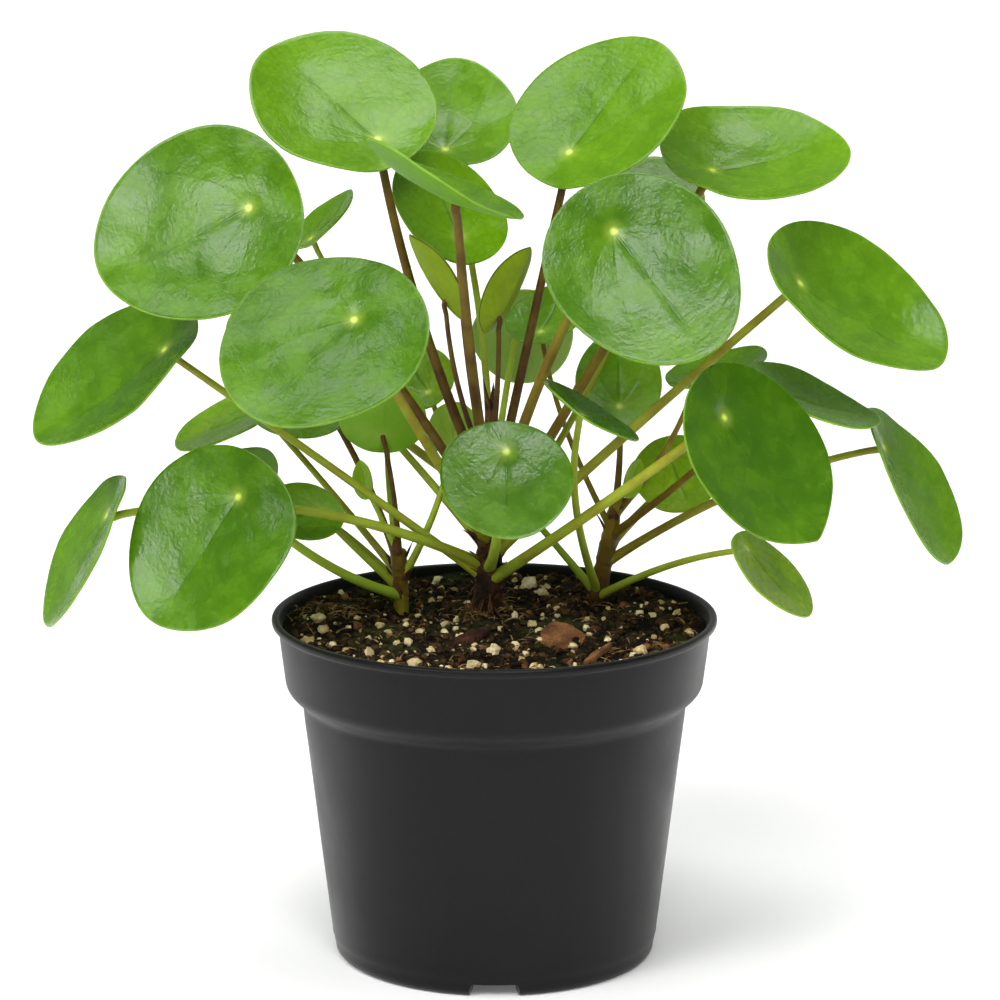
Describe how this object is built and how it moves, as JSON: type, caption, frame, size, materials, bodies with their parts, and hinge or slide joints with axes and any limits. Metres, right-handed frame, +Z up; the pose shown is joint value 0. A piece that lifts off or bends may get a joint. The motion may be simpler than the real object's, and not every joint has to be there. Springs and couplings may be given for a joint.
{
  "type": "potted chinese money plant",
  "caption": "Chinese money plant with round glossy coin-like leaves on long thin stalks, growing in soil in a round black plastic nursery pot with a stepped collar.",
  "frame": {"origin": "middle of the pot's foot, on the surface that the pot stands on; the pot's axis goes through it", "axes": "+Z up along the pot's axis, +X to the right and +Y away from a person who looks at the plant's front"},
  "size_m": [0.3175, 0.199, 0.3149],
  "materials": {
    "pot_plastic": "charcoal black moulded plastic, satin",
    "potting_soil": "dark brown moist peat and bark mix with white perlite grains",
    "bark": "reddish brown bark, rough",
    "stem_brown": "living stalks, brown to olive, satin",
    "stem_olive": "living stalks, olive to light green, satin",
    "leaf": "living leaf, mid green, glossy",
    "young_leaf": "young leaf, yellow green, satin"
  },
  "bodies": {
    "root": {"pot": "pot_plastic", "soil": "potting_soil", "bark_chip_round": "bark", "bark_chip_long": "bark", "bark_twig": "bark", "stems_main": "stem_brown", "stems_left": "stem_olive", "stems_right": "stem_olive", "leaf_main_01": "leaf", "leaf_main_02": "leaf", "leaf_main_03": "leaf", "leaf_main_04": "leaf", "leaf_main_05": "leaf", "leaf_main_06": "leaf", "leaf_main_07": "leaf", "leaf_main_08": "leaf", "leaf_main_09": "leaf", "leaf_main_10": "leaf", "leaf_main_11": "leaf", "leaf_main_12": "leaf", "leaf_main_13": "leaf", "leaf_main_14": "leaf", "leaf_main_15": "leaf", "leaf_main_16": "leaf", "leaf_main_17": "leaf", "leaf_main_18": "leaf", "leaf_main_19": "leaf", "leaf_main_20": "leaf", "leaf_main_21": "leaf", "leaf_main_22": "leaf", "leaf_main_23": "leaf", "leaf_left_01": "leaf", "leaf_left_02": "leaf", "leaf_left_03": "leaf", "leaf_left_04": "leaf", "leaf_left_05": "leaf", "leaf_left_06": "young_leaf", "leaf_left_07": "young_leaf", "leaf_left_08": "leaf", "leaf_left_09": "leaf", "leaf_right_01": "leaf", "leaf_right_02": "leaf", "leaf_right_03": "leaf", "leaf_right_04": "leaf", "leaf_right_05": "leaf", "leaf_right_06": "leaf", "leaf_right_07": "leaf", "leaf_right_08": "leaf", "leaf_right_09": "young_leaf", "leaf_right_10": "leaf", "leaf_right_11": "leaf"}
  },
  "joints": []
}
